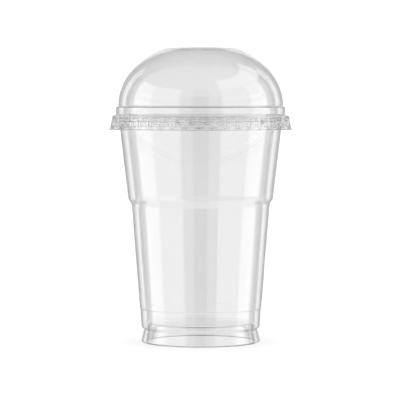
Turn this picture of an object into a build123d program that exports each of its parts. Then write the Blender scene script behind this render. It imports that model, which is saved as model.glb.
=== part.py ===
from build123d import *
import os
from math import asin, atan2, cos, degrees, hypot, pi, sin, sqrt

# Clear disposable cup with a flat-topped dome lid, both formed from thin plastic sheet.
# Millimetres. +Z is up, the origin is at the middle of the ring that the cup stands on.
# Both pieces are revolved about Z. Radii are to the outside of the sheet unless a name says otherwise.

# ---- cup: overall ---------------------------------------------------------------
cup_height = 123.5
rim_radius = 47.5              # outside of the rolled rim
cup_wall = 0.40

# ---- cup: foot, floor and heel --------------------------------------------------
foot_radius = 32.75            # corner of the flared foot, before it is rounded
foot_toe_rounding = 1.2
foot_ring_width = 3.2          # corner to corner, across the hollow ring that stands on the table
foot_inner_rounding = 1.0
floor_rise = 10.2              # underside of the floor above the table
floor_draft = 1.4              # how far the recess under the floor closes in over its height
floor_edge_rounding = 1.2
neck_depth = 1.65              # groove between foot and heel, measured in from foot_radius
neck_height = 7.1
neck_rounding = 0.4
heel_height = 8.5
heel_step = 1.35               # heel stands out from the neck by this
heel_rounding = 1.5

# ---- cup: wall, stacking ledge and shoulder -------------------------------------
ledge_height = 17.9            # foot of the small ledge that the next cup rests on
ledge_rise = 0.8
ledge_upright = 1.1            # straight stretch above the ledge, before the wall flares again
ledge_step = 0.38
ledge_radius = 32.98
ledge_rounding = 0.5
shoulder_height = 75.4
shoulder_rise = 2.8
shoulder_radius = 37.75        # wall just below the shoulder
shoulder_step = 1.8
shoulder_lower_rounding = 5.0
shoulder_upper_rounding = 1.2

# ---- cup: rolled rim ------------------------------------------------------------
curl_radius = 1.6              # outside of the roll's own section
curl_turn = 285.0              # degrees of roll, from the wall over the top and back under

# ---- lid: fit on the rim --------------------------------------------------------
lid_wall = 0.35
seat_gap = 0.15                # between the rolled rim and the lid's flange
bead_gap = 0.65                # between the rim and the inside of the flange bead
snap_gap = 0.12                # between the rim and the pressed-in skirt panels
flange_overlap = 1.2           # how far the rim reaches out past the lid's upright band

# ---- lid: band, dome and flat top -----------------------------------------------
band_height = 4.5
ledge_width = 1.3              # step between band and dome
dome_straight = 1.0            # upright stretch at the foot of the dome
dome_rise = 32.0               # from the step to the flat top
flat_top_radius = 19.1
flat_top_rounding = 4.0
band_rounding = 0.5
bead_rounding = 1.2

# ---- lid: skirt, its pressed panels and its lip ---------------------------------
skirt_drop = 7.85              # from the flange's top to the lid's lower edge
skirt_waist_drop = 2.2         # where the skirt starts to flare
skirt_flare = 1.2              # how far the flare reaches out past the bead
skirt_flare_rounding = 6.0
lip_width = 0.6                # flat trimmed edge beyond the skirt
panel_width = 5.0
panel_pitch = 6.85
panel_top_drop = 1.9           # upper edge of the panels below the flange's top
panel_foot_rise = 2.0          # lower edge of the panels above the lid's lower edge
panel_end_slope = 1.0          # how far the sloping upper and lower ends of a panel run up the skirt
panel_turn = 3.3               # degrees that the first panel is turned on from +X
cutter_overreach = 1.0         # how far the wedges that press the panels reach past the lip

# ---- derived: cup ---------------------------------------------------------------
foot_inner_radius = foot_radius - foot_ring_width
neck_radius = foot_radius - neck_depth
heel_radius = neck_radius + heel_step
ledge_top_radius = ledge_radius + ledge_step
ledge_top = ledge_height + ledge_rise
shoulder_top_radius = shoulder_radius + shoulder_step
curl_centre_radius = rim_radius - curl_radius
curl_centre_height = cup_height - curl_radius
curl_inner_radius = curl_radius - cup_wall

# ---- derived: lid ---------------------------------------------------------------
flange_top = cup_height + seat_gap + lid_wall
lid_bottom = flange_top - skirt_drop
bead_radius = rim_radius + bead_gap + lid_wall
panel_face = rim_radius + snap_gap + lid_wall
skirt_radius = bead_radius + skirt_flare
band_radius = rim_radius - flange_overlap
dome_radius = band_radius - ledge_width
step_height = flange_top + band_height
dome_centre_height = step_height + dome_straight
lid_top = step_height + dome_rise
dome_semi_height = (dome_rise - dome_straight) / sqrt(1 - (flat_top_radius / dome_radius) ** 2)
panel_count = round(2 * pi * panel_face / panel_pitch)


def tangent_point(start, centre, radius):
    """Where a line from start touches the left-hand side of a circle, seen along the line."""
    across, up = centre[0] - start[0], centre[1] - start[1]
    length = hypot(across, up)
    angle = atan2(up, across) + asin(radius / length)
    reach = sqrt(length ** 2 - radius ** 2)
    return (start[0] + reach * cos(angle), start[1] + reach * sin(angle)), angle


def cup_wall_section():
    """Floor, foot and wall: their outside line thickened inwards. Also the roll's start angle."""
    shoulder_top = (shoulder_top_radius, shoulder_height + shoulder_rise)
    curl_centre = (curl_centre_radius, curl_centre_height)
    curl_start, wall_angle = tangent_point(shoulder_top, curl_centre, curl_inner_radius)
    corners = [
        ((foot_inner_radius - floor_draft, floor_rise), floor_edge_rounding),
        ((foot_inner_radius, 0), foot_inner_rounding),
        ((foot_radius, 0), foot_toe_rounding),
        ((neck_radius, neck_height), neck_rounding),
        ((heel_radius, heel_height), heel_rounding),
        ((ledge_radius, ledge_height), ledge_rounding),
        ((ledge_top_radius, ledge_top), ledge_rounding),
        ((ledge_top_radius, ledge_top + ledge_upright), ledge_rounding),
        ((shoulder_radius, shoulder_height), shoulder_lower_rounding),
        (shoulder_top, shoulder_upper_rounding),
    ]
    points = [(0, floor_rise), *(point for point, _ in corners), curl_start]
    outside = FilletPolyline(*points, radius=[rounding for _, rounding in corners])
    sheet = Wire(outside.edges()).offset_2d(cup_wall, side=Side.LEFT, closed=True)
    return make_face(sheet), degrees(wall_angle) + 90


def curl_section(start):
    """The rolled rim: a thin ring sector that carries the wall on, over the top and back under."""
    centre = (curl_centre_radius, curl_centre_height)
    inner = CenterArc(centre, curl_inner_radius, start, arc_size=-curl_turn)
    outer = CenterArc(centre, curl_radius, start, arc_size=-curl_turn)
    ends = [Line(inner @ 0, outer @ 0), Line(inner @ 1, outer @ 1)]
    return make_face([*inner.edges(), *outer.edges(), *(end.edges()[0] for end in ends)])


def make_cup():
    """Wall and rolled rim as one section, revolved."""
    wall, roll_start = cup_wall_section()
    return revolve(Plane.XZ * (wall + curl_section(roll_start)), Axis.Z)


def lid_blank(inset):
    """Solid of the lid's outer surface moved inwards by inset, with nothing hollow inside."""
    flare_start = flange_top - skirt_waist_drop
    corners = [
        ((dome_radius - inset, step_height - inset), band_rounding + inset),
        ((band_radius - inset, step_height - inset), band_rounding - inset),
        ((band_radius - inset, flange_top - inset), band_rounding + inset),
        ((bead_radius - inset, flange_top - inset), bead_rounding - inset),
        ((bead_radius - inset, flare_start), skirt_flare_rounding + inset),
    ]
    dome_foot = (dome_radius - inset, dome_centre_height)
    floor = lid_bottom - inset
    skirt_foot = (skirt_radius - inset, floor)
    points = [dome_foot, *(point for point, _ in corners), skirt_foot]
    skirt = FilletPolyline(*points, radius=[rounding for _, rounding in corners])
    width, height = dome_radius - inset, dome_semi_height - inset
    top = lid_top - inset
    flat_angle = degrees(asin((top - dome_centre_height) / height))
    dome = EllipticalCenterArc((0, dome_centre_height), width, height, arc_size=flat_angle)
    closing = Polyline(dome @ 1, (0, top), (0, floor), skirt_foot)
    outline = make_face([*skirt.edges(), *dome.edges(), *closing.edges()])
    corner = outline.vertices().sort_by_distance(dome @ 1)[0]
    outline = fillet(corner, flat_top_rounding - inset)
    return revolve(Plane.XZ * outline, Axis.Z)


def panel_cutters(inset):
    """Wedges that press the skirt's panels in, each with a flat face and sloping ends."""
    face = panel_face - inset
    back = skirt_radius + lip_width + cutter_overreach
    top = flange_top - panel_top_drop + inset
    foot = lid_bottom + panel_foot_rise - inset
    profile = Polyline(
        (face, foot + panel_end_slope), (back, foot),
        (back, top + panel_end_slope), (face, top - panel_end_slope), close=True,
    )
    wedge = extrude(Plane.XZ * make_face(profile), panel_width / 2 + inset, both=True)
    pitch = 360 / panel_count
    return [Rot(0, 0, panel_turn + pitch * number) * wedge for number in range(panel_count)]


def make_lid():
    """Outer surface less inner surface, each with its own panels, and the trimmed lip."""
    outside = lid_blank(0) - panel_cutters(0)
    inside = lid_blank(lid_wall) - panel_cutters(lid_wall)
    lip = Pos(0, 0, lid_bottom) * Cylinder(
        skirt_radius + lip_width, lid_wall, align=(Align.CENTER, Align.CENTER, Align.MIN)
    )
    return outside + lip - inside


os.makedirs("parts", exist_ok=True)
export_step(make_cup(), "parts/cup.step")
export_step(make_lid(), "parts/dome_lid.step")
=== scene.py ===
import bmesh
import bpy
import math
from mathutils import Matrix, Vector


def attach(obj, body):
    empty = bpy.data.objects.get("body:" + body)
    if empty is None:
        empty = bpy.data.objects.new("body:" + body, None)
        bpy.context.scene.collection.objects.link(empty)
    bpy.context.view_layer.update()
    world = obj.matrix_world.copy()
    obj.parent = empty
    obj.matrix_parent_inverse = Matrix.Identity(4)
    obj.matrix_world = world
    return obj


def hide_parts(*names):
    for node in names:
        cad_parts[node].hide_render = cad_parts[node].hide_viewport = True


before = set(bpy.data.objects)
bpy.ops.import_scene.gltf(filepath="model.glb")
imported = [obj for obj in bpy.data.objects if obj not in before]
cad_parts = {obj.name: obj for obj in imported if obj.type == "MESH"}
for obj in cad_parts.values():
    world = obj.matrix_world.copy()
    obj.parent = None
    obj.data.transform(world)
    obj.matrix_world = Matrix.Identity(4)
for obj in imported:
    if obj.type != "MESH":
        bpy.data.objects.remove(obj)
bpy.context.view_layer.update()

# ---- Cup -------------------------------------------------------------------------------------
# The tumbler, drawn down from one clear PET sheet: raised floor inside a flared hollow foot, groove
# and heel, stacking ledge, tapered wall with a stepped shoulder, and a rim rolled outwards.
# Its section is one line with rounded corners, spun round the axis and thickened inwards.
MM = 0.001
CUP_WALL = 0.40 * MM
CUP_TURNS = 240               # faces round the cup
CUP_OUTSIDE = [               # radius, height, rounding and its steps, corner by corner
    (28.15, 10.2, 1.2, 6),    # floor's edge
    (29.55, 0, 1.0, 8),       # foot, inner side
    (32.75, 0, 1.2, 8),       # foot, outer side
    (31.10, 7.1, 0.4, 4),     # groove
    (32.45, 8.5, 1.5, 6),     # heel
    (32.58, 11.1, 0.5, 3),    # crease over the heel
    (32.72, 11.6, 0.5, 3),
    (32.98, 17.9, 0.5, 4),    # stacking ledge
    (33.36, 18.7, 0.5, 4),
    (33.36, 19.8, 0.5, 3),
    (37.75, 75.4, 5.0, 6),    # shoulder
    (39.55, 78.2, 1.2, 4),
]
FLOOR_HEIGHT = 10.2
CURL_CENTRE = (45.9, 121.9)
CURL_INNER_RADIUS = 1.2
CURL_TURN = math.radians(285)
CURL_STEPS = 30
JOINS_WITHIN = 0.001 * MM     # points nearer than this are one point
SMOOTH_UP_TO = math.radians(40)


def start_section(name, radius, height):
    """A new piece begins as a single point, in edit mode, with its object at the origin."""
    bpy.ops.object.select_all(action="DESELECT")
    bpy.ops.mesh.primitive_plane_add(size=MM, location=(radius * MM, 0, height * MM))
    piece = bpy.context.object
    piece.name = piece.data.name = name
    bpy.ops.object.transform_apply(location=True, rotation=False, scale=False)
    bpy.ops.object.mode_set(mode="EDIT")
    bpy.ops.mesh.merge(type="CENTER")
    return piece


def pick(piece, kind, test):
    """Selects the verts, edges or faces of a piece in edit mode that pass the test."""
    bpy.ops.mesh.select_all(action="DESELECT")
    bpy.ops.mesh.select_mode(type={"verts": "VERT", "edges": "EDGE", "faces": "FACE"}[kind])
    mesh = bmesh.from_edit_mesh(piece.data)
    for element in getattr(mesh, kind):
        if test(element):
            element.select_set(True)
    bmesh.update_edit_mesh(piece.data)


def pick_point(piece, radius, height):
    """Selects the one section point that lies nearest."""
    mesh = bmesh.from_edit_mesh(piece.data)
    place = Vector((radius, 0, height)) * MM
    nearest = min(mesh.verts, key=lambda point: (point.co - place).length).index
    pick(piece, "verts", lambda point: point.index == nearest)


def draw_line(corners):
    """Carries the section on from the selected point through each radius and height."""
    for start, end in zip(corners, corners[1:]):
        step = ((end[0] - start[0]) * MM, 0, (end[1] - start[1]) * MM)
        bpy.ops.mesh.extrude_vertices_move(TRANSFORM_OT_translate={"value": step})


def round_corners(piece, line, corners):
    """Rounds the corners of a section, which are its line's second point and the ones after it."""
    for before, corner, after in zip(line, corners, line[2:]):
        radius, height, rounding, steps = corner
        arrives = Vector((radius - before[0], height - before[1]))
        leaves = Vector((after[0] - radius, after[1] - height))
        setback = rounding * math.tan(arrives.angle(leaves) / 2)
        pick_point(piece, radius, height)
        bpy.ops.mesh.bevel(
            offset=setback * MM, segments=steps, affect="VERTICES", clamp_overlap=False,
        )


def tangent_point(start, centre, radius):
    """Where the wall meets the roll without a kink."""
    reach = Vector(centre) - Vector(start)
    angle = math.atan2(reach.y, reach.x) + math.asin(radius / reach.length)
    run = math.sqrt(reach.length_squared - radius ** 2)
    return start[0] + run * math.cos(angle), start[1] + run * math.sin(angle)


def give_thickness(piece, wall):
    """Turns a surface into a sheet, whose thickness lies behind the drawn side."""
    bpy.ops.object.mode_set(mode="OBJECT")
    sheet = piece.modifiers.new("sheet", "SOLIDIFY")
    sheet.thickness = wall
    sheet.offset = -1
    sheet.use_even_offset = True
    bpy.ops.object.modifier_apply(modifier=sheet.name)
    bpy.ops.object.shade_smooth_by_angle(angle=SMOOTH_UP_TO)


cup = start_section("clear_tumbler", 0, FLOOR_HEIGHT)
curl_start = tangent_point(CUP_OUTSIDE[-1][:2], CURL_CENTRE, CURL_INNER_RADIUS)
cup_line = [(0, FLOOR_HEIGHT), *(corner[:2] for corner in CUP_OUTSIDE), curl_start]
draw_line(cup_line)
bpy.ops.mesh.spin(
    steps=CURL_STEPS, angle=CURL_TURN, axis=(0, -1, 0),
    center=(CURL_CENTRE[0] * MM, 0, CURL_CENTRE[1] * MM),
)
round_corners(cup, cup_line, CUP_OUTSIDE)
bpy.ops.mesh.select_all(action="SELECT")
bpy.ops.mesh.spin(steps=CUP_TURNS, angle=math.tau, center=(0, 0, 0), axis=(0, 0, 1))
bpy.ops.mesh.select_all(action="SELECT")
bpy.ops.mesh.remove_doubles(threshold=JOINS_WITHIN)
bpy.ops.mesh.normals_make_consistent(inside=True)
give_thickness(cup, CUP_WALL)
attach(cup, "cup")
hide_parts("cup")

# ---- Dome lid --------------------------------------------------------------------------------
# The lid, formed from thinner clear PET: flat top, dome, step and upright band, flange bead, and a
# flared skirt with a trimmed lip. Real panels grip the rim, and these stay just clear of it.
# One forty-fourth of it is made, its panel pressed in, and copied round the axis.
LID_WALL = 0.35 * MM
PANELS = 44
HALF_PANEL_PITCH = math.pi / PANELS
HALF_PANEL_STEPS = 4
LID_TOP = 160.5
DOME_CENTRE_HEIGHT = 129.5
DOME_RADIUS = 45.0
DOME_SEMI_HEIGHT = 34.24
DOME_STEPS = 28
FLAT_TOP_ROUNDING = 4.0
FLAT_TOP_STEPS = 6
LID_OUTSIDE = [               # from the foot of the dome down to the lip
    (45.0, 128.5, 0.85, 6),
    (46.3, 128.5, 0.5, 6),
    (46.3, 124.0, 0.85, 6),
    (48.5, 124.0, 1.2, 6),
    (48.5, 121.8, 6.0, 2),
    (49.62, 116.5, 0.3, 4),
]
LIP_RADIUS = 50.3
PANEL_FACE = 47.97
PANEL_TOP = 122.4
PANEL_FOOT = 118.15
PANEL_TURN = math.radians(3.3)
PANEL_SHARE = 0.75            # of the pitch, the rest is left standing as a rib
PANEL_SLOPE = 0.40            # of its upper and lower ends
PANEL_DRAFT = 0.15            # of its steep sides
PANEL_ROUNDING = 0.12
PANEL_ROUNDING_STEPS = 2

lid = start_section("clear_dome", DOME_RADIUS, DOME_CENTRE_HEIGHT)
flat_angle = math.asin((LID_TOP - DOME_CENTRE_HEIGHT) / DOME_SEMI_HEIGHT)
dome_centre = (0, 0, DOME_CENTRE_HEIGHT * MM)
bpy.ops.mesh.spin(steps=DOME_STEPS, angle=flat_angle, center=dome_centre, axis=(0, 1, 0))
bpy.ops.mesh.select_all(action="SELECT")
bpy.ops.transform.resize(
    value=(1, 1, DOME_SEMI_HEIGHT / DOME_RADIUS), center_override=dome_centre,
)
flat_edge = (DOME_RADIUS * math.cos(flat_angle), LID_TOP)
pick_point(lid, *flat_edge)
draw_line([flat_edge, (0, LID_TOP)])
lip_height = LID_OUTSIDE[-1][1]
lid_line = [
    (DOME_RADIUS, DOME_CENTRE_HEIGHT), *(corner[:2] for corner in LID_OUTSIDE),
    (LIP_RADIUS, lip_height),
]
pick_point(lid, *lid_line[0])
draw_line(lid_line)
round_corners(lid, lid_line, LID_OUTSIDE)
last_dome_angle = flat_angle * (1 - 1 / DOME_STEPS)
last_dome_point = (
    DOME_RADIUS * math.cos(last_dome_angle),
    DOME_CENTRE_HEIGHT + DOME_SEMI_HEIGHT * math.sin(last_dome_angle),
)
round_corners(
    lid, [last_dome_point, flat_edge, (0, LID_TOP)],
    [(*flat_edge, FLAT_TOP_ROUNDING, FLAT_TOP_STEPS)],
)
for direction in (1, -1):
    pick(lid, "edges", lambda edge: all(abs(end.co.y) < JOINS_WITHIN for end in edge.verts))
    bpy.ops.mesh.spin(
        steps=HALF_PANEL_STEPS, angle=direction * HALF_PANEL_PITCH,
        center=(0, 0, 0), axis=(0, 0, 1),
    )
for height in (PANEL_FOOT, PANEL_TOP):
    bpy.ops.mesh.select_all(action="SELECT")
    bpy.ops.mesh.bisect(plane_co=(0, 0, height * MM), plane_no=(0, 0, 1))


def in_panel(face):
    """True on the part of the skirt that is pressed in."""
    middle = face.calc_center_median()
    turn = abs(math.atan2(middle.y, middle.x))
    level = PANEL_FOOT * MM < middle.z < PANEL_TOP * MM
    return level and turn < HALF_PANEL_PITCH * PANEL_SHARE and middle.x > DOME_RADIUS * MM


pick(lid, "faces", in_panel)
bpy.ops.mesh.dissolve_faces()
half_width = PANEL_FACE * math.sin(HALF_PANEL_PITCH * PANEL_SHARE)
half_rise = (PANEL_TOP - PANEL_FOOT) / 2
bpy.ops.mesh.extrude_region_move()
bpy.ops.transform.resize(
    value=(0, 1 - PANEL_DRAFT / half_width, 1 - PANEL_SLOPE / half_rise),
    center_override=(PANEL_FACE * MM, 0, (PANEL_FOOT + half_rise) * MM),
)
bpy.ops.mesh.region_to_loop()
bpy.ops.mesh.bevel(
    offset=PANEL_ROUNDING * MM, segments=PANEL_ROUNDING_STEPS, affect="EDGES",
)
bpy.ops.mesh.select_all(action="SELECT")
bpy.ops.mesh.spin(
    steps=PANELS - 1, angle=math.tau * (PANELS - 1) / PANELS, dupli=True,
    center=(0, 0, 0), axis=(0, 0, 1),
)
bpy.ops.mesh.select_all(action="SELECT")
bpy.ops.mesh.remove_doubles(threshold=JOINS_WITHIN)
bpy.ops.mesh.normals_make_consistent(inside=False)
bpy.ops.transform.rotate(value=-PANEL_TURN, orient_axis="Z", center_override=(0, 0, 0))
give_thickness(lid, LID_WALL)
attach(lid, "lid")
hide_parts("dome_lid")

# ---- Clear PET -------------------------------------------------------------------------------
# Both sheets are clear amorphous PET. Drawing leaves faint streaks up the wall and a slight
# unevenness that bends reflections, and handling leaves a very light haze.
PET_IOR = 1.57
PET_TINT = (0.96, 0.96, 0.96, 1)
PET_HAZE = 0.012              # roughness where the haze is strongest
HAZE_FROM, HAZE_TO = 0.45, 0.75    # the swells' heights over which it comes in
SWELL_DETAIL = 1.0
STREAK_DETAIL = 2.0
STREAK_STRETCH = (1, 1, 0.06)      # the noise is drawn out upwards into streaks
CUP_RELIEF = 0.06 * MM
LID_RELIEF = 0.05 * MM


def new_node(nodes, kind, operation=None, **values):
    """A new node, with its operation and some of its sockets set."""
    node = nodes.new(kind)
    if operation:
        node.operation = operation
    for socket, value in values.items():
        node.inputs[socket.replace("_", " ")].default_value = value
    return node


def partly_open(material, shader, share):
    """Ends a material in its shader, which the rays that the share picks pass unhindered."""
    nodes, link = material.node_tree.nodes, material.node_tree.links.new
    open_way = new_node(nodes, "ShaderNodeBsdfTransparent")
    either = new_node(nodes, "ShaderNodeMixShader")
    link(share, either.inputs["Fac"])
    link(shader.outputs[0], either.inputs[1])
    link(open_way.outputs[0], either.inputs[2])
    link(either.outputs[0], nodes["Material Output"].inputs["Surface"])


def sheet_unevenness():
    """Shader group: height of the drawn sheet's streaks and swells, and its haze."""
    group = bpy.data.node_groups.new("sheet_unevenness", "ShaderNodeTree")
    sockets = (
        ("Position", "INPUT", "NodeSocketVector"),
        ("Swell Scale", "INPUT", "NodeSocketFloat"),
        ("Streak Scale", "INPUT", "NodeSocketFloat"),
        ("Streak Share", "INPUT", "NodeSocketFloat"),
        ("Haze", "INPUT", "NodeSocketFloat"),
        ("Height", "OUTPUT", "NodeSocketFloat"),
        ("Roughness", "OUTPUT", "NodeSocketFloat"),
    )
    for name, direction, kind in sockets:
        group.interface.new_socket(name, in_out=direction, socket_type=kind)
    nodes, link = group.nodes, group.links.new
    given = new_node(nodes, "NodeGroupInput")
    result = new_node(nodes, "NodeGroupOutput")
    swell = new_node(nodes, "ShaderNodeTexNoise", Detail=SWELL_DETAIL)
    stretch = new_node(nodes, "ShaderNodeVectorMath", "MULTIPLY")
    stretch.inputs[1].default_value = STREAK_STRETCH
    streak = new_node(nodes, "ShaderNodeTexNoise", Detail=STREAK_DETAIL)
    blend = new_node(nodes, "ShaderNodeMix")
    haze = new_node(nodes, "ShaderNodeMapRange", From_Min=HAZE_FROM, From_Max=HAZE_TO)
    link(given.outputs["Position"], swell.inputs["Vector"])
    link(given.outputs["Swell Scale"], swell.inputs["Scale"])
    link(given.outputs["Position"], stretch.inputs[0])
    link(stretch.outputs[0], streak.inputs["Vector"])
    link(given.outputs["Streak Scale"], streak.inputs["Scale"])
    link(given.outputs["Streak Share"], blend.inputs["Factor"])
    link(swell.outputs["Fac"], blend.inputs["A"])
    link(streak.outputs["Fac"], blend.inputs["B"])
    link(swell.outputs["Fac"], haze.inputs["Value"])
    link(given.outputs["Haze"], haze.inputs["To Max"])
    link(blend.outputs["Result"], result.inputs["Height"])
    link(haze.outputs["Result"], result.inputs["Roughness"])
    return group


def clear_plastic(name, group, relief, **unevenness):
    """Clear sheet: plain glass-like shader, uneven surface, and no solid shadow."""
    material = bpy.data.materials.new(name)
    material.use_nodes = True
    nodes, link = material.node_tree.nodes, material.node_tree.links.new
    sheet = nodes["Principled BSDF"]
    sheet.inputs["Base Color"].default_value = PET_TINT
    sheet.inputs["IOR"].default_value = PET_IOR
    sheet.inputs["Transmission Weight"].default_value = 1.0
    place = new_node(nodes, "ShaderNodeTexCoord")
    uneven = new_node(nodes, "ShaderNodeGroup")
    uneven.node_tree = group
    uneven.inputs["Haze"].default_value = PET_HAZE
    for socket, value in unevenness.items():
        uneven.inputs[socket.replace("_", " ").title()].default_value = value
    bump = new_node(nodes, "ShaderNodeBump", Distance=relief)
    rays = new_node(nodes, "ShaderNodeLightPath")
    link(place.outputs["Object"], uneven.inputs["Position"])
    link(uneven.outputs["Height"], bump.inputs["Height"])
    link(uneven.outputs["Roughness"], sheet.inputs["Roughness"])
    link(bump.outputs["Normal"], sheet.inputs["Normal"])
    partly_open(material, sheet, rays.outputs["Is Shadow Ray"])
    return material


unevenness_group = sheet_unevenness()
cup.data.materials.clear()
cup.data.materials.append(clear_plastic(
    "clear_cup_sheet", unevenness_group, CUP_RELIEF,
    swell_scale=60, streak_scale=260, streak_share=0.35,
))
lid.data.materials.clear()
lid.data.materials.append(clear_plastic(
    "clear_lid_sheet", unevenness_group, LID_RELIEF,
    swell_scale=45, streak_scale=200, streak_share=0.2,
))

# ---- Studio ----------------------------------------------------------------------------------
# A white table under an even white surround, which is all that the camera sees directly. The
# plastic mirrors a nearly symmetric row of soft boxes and black flags, the tallest at the right,
# between a dimmer table and ceiling. Straight through the plastic lies an even light.
TABLE_RADIUS = 6.0            # metres
TABLE_SIDES = 96
TABLE_WHITE = (0.95, 0.95, 0.95, 1)
SURROUND = 1.20
BEHIND_PLASTIC = 0.90
GAP_BRIGHTNESS = 0.40
ALL_ROUND = 200               # degrees, past 180 so that no seam shows in front
POLE = 100                    # degrees, past 90 likewise
BOX_FOOT, BOX_TOP = -20, 35
TALL_BOX_TOP = 55
SIDE_BLUR = 2.0
TOP_BLUR = 1.0
MIRRORED = [                  # left and right edge, from straight behind; foot, top; brightness
    (-ALL_ROUND, ALL_ROUND, -POLE, BOX_FOOT, 0.90),     # table
    (-60, 60, -POLE, BOX_FOOT, 0.20),                   # its far part
    (-ALL_ROUND, ALL_ROUND, BOX_TOP, POLE, 0.40),       # ceiling
    (45, 150, BOX_TOP, TALL_BOX_TOP, 1.35),             # top of the tallest box
    (-150, -105, BOX_FOOT, BOX_TOP, 1.10),              # left front
    (105, 150, BOX_FOOT, BOX_TOP, 0.95),                # right front
    (-105, -72, BOX_FOOT, BOX_TOP, 1.60),               # left side
    (72, 105, BOX_FOOT, BOX_TOP, 1.60),                 # right side
    (-60, -50, BOX_FOOT, BOX_TOP, 0.02),                # left flag
    (50, 60, BOX_FOOT, BOX_TOP, 0.02),                  # right flag
    (-50, -35, BOX_FOOT, BOX_TOP, 1.00),                # left rear
    (35, 50, BOX_FOOT, BOX_TOP, 1.00),                  # right rear
    (-15, 15, BOX_FOOT, BOX_TOP, 0.90),                 # behind
    (-ALL_ROUND, -168, BOX_FOOT, BOX_TOP, 0.02),        # dark gap in front, left of the middle
    (168, ALL_ROUND, BOX_FOOT, BOX_TOP, 0.02),          # and right of it
]
BENT = [                      # the same for what is seen through the plastic, down and up
    (-ALL_ROUND, ALL_ROUND, -POLE, -43, 0.82),
    (-ALL_ROUND, ALL_ROUND, 7.5, POLE, 0.50),
]

bpy.ops.object.select_all(action="DESELECT")
bpy.ops.mesh.primitive_circle_add(
    vertices=TABLE_SIDES, radius=TABLE_RADIUS, fill_type="NGON", location=(0, 0, 0),
)
table = bpy.context.object
table.name = "table_top"
white = bpy.data.materials.new("white_table")
white.use_nodes = True
nodes, link = white.node_tree.nodes, white.node_tree.links.new
nodes.remove(nodes["Principled BSDF"])
paint = new_node(nodes, "ShaderNodeBsdfDiffuse", Color=TABLE_WHITE)
rays = new_node(nodes, "ShaderNodeLightPath")
after_plastic = new_node(nodes, "ShaderNodeMath", "ADD")
link(rays.outputs["Glossy Depth"], after_plastic.inputs[0])
link(rays.outputs["Transmission Depth"], after_plastic.inputs[1])
partly_open(white, paint, after_plastic.outputs[0])
table.data.materials.append(white)

world = bpy.data.worlds.new("studio")
bpy.context.scene.world = world
world.use_nodes = True
nodes, link = world.node_tree.nodes, world.node_tree.links.new
way = new_node(nodes, "ShaderNodeTexCoord")
parts = new_node(nodes, "ShaderNodeSeparateXYZ")
bearing = new_node(nodes, "ShaderNodeMath", "ARCTAN2")
rise = new_node(nodes, "ShaderNodeMath", "ARCSINE")
rays = new_node(nodes, "ShaderNodeLightPath")
link(way.outputs["Generated"], parts.inputs[0])
link(parts.outputs["X"], bearing.inputs[0])
link(parts.outputs["Y"], bearing.inputs[1])
link(parts.outputs["Z"], rise.inputs[0])


def within(angle, start, end, blur):
    """1 between two angles in degrees and 0 beyond them, with soft edges."""
    start, end, blur = (math.radians(value) for value in (start, end, blur))
    begins = new_node(
        nodes, "ShaderNodeMapRange", From_Min=start - blur, From_Max=start + blur,
    )
    ends = new_node(nodes, "ShaderNodeMapRange", From_Min=end + blur, From_Max=end - blur)
    both = new_node(nodes, "ShaderNodeMath", "MULTIPLY")
    link(angle.outputs[0], begins.inputs["Value"])
    link(angle.outputs[0], ends.inputs["Value"])
    link(begins.outputs[0], both.inputs[0])
    link(ends.outputs[0], both.inputs[1])
    return both.outputs[0]


def even(brightness):
    """The same light from every direction."""
    steady = new_node(nodes, "ShaderNodeValue")
    steady.outputs[0].default_value = brightness
    return steady.outputs[0]


def hang(light, boxes):
    """Hangs boxes and flags one after another in front of a light."""
    for left, right, foot, top, brightness in boxes:
        box = new_node(nodes, "ShaderNodeMath", "MULTIPLY")
        mix = new_node(nodes, "ShaderNodeMix", B=brightness)
        link(within(bearing, left, right, SIDE_BLUR), box.inputs[0])
        link(within(rise, foot, top, TOP_BLUR), box.inputs[1])
        link(box.outputs[0], mix.inputs["Factor"])
        link(light, mix.inputs["A"])
        light = mix.outputs["Result"]
    return light


def swap_after(depth, light, plastic_light):
    """Rays that the plastic has bent, or mirrored, see another light than the rest."""
    met = new_node(nodes, "ShaderNodeMath", "MINIMUM")
    met.inputs[1].default_value = 1
    swap = new_node(nodes, "ShaderNodeMix")
    link(rays.outputs[depth], met.inputs[0])
    link(met.outputs[0], swap.inputs["Factor"])
    link(light, swap.inputs["A"])
    link(plastic_light, swap.inputs["B"])
    return swap.outputs["Result"]


seen = swap_after("Transmission Depth", even(SURROUND), hang(even(BEHIND_PLASTIC), BENT))
seen = swap_after("Glossy Depth", seen, hang(even(GAP_BRIGHTNESS), MIRRORED))
link(seen, nodes["Background"].inputs["Strength"])
nodes["Background"].inputs["Color"].default_value = (1, 1, 1, 1)

# ---- Camera ----------------------------------------------------------------------------------
# A long lens a little above the cup's rim, looking slightly down. Light needs many
# bounces to pass four or more thin walls of clear sheet.
CAMERA_PLACE = Vector((-0.00035, -1.25, 0.130))
CAMERA_AIM = Vector((-0.00035, 0, 0.0776))
LENS = 206
SENSOR_WIDTH = 36
FARTHEST_SEEN = 50

bpy.ops.object.camera_add(
    location=CAMERA_PLACE,
    rotation=(CAMERA_AIM - CAMERA_PLACE).to_track_quat("-Z", "Y").to_euler(),
)
camera = bpy.context.object
camera.data.lens = LENS
camera.data.sensor_width = SENSOR_WIDTH
camera.data.clip_end = FARTHEST_SEEN
scene = bpy.context.scene
scene.camera = camera
scene.view_settings.view_transform = "Standard"
scene.cycles.max_bounces = 32
scene.cycles.transmission_bounces = 28
scene.cycles.glossy_bounces = 16
scene.cycles.transparent_max_bounces = 24
scene.cycles.diffuse_bounces = 2
scene.cycles.caustics_reflective = True
scene.cycles.caustics_refractive = True
scene.cycles.use_denoising = True
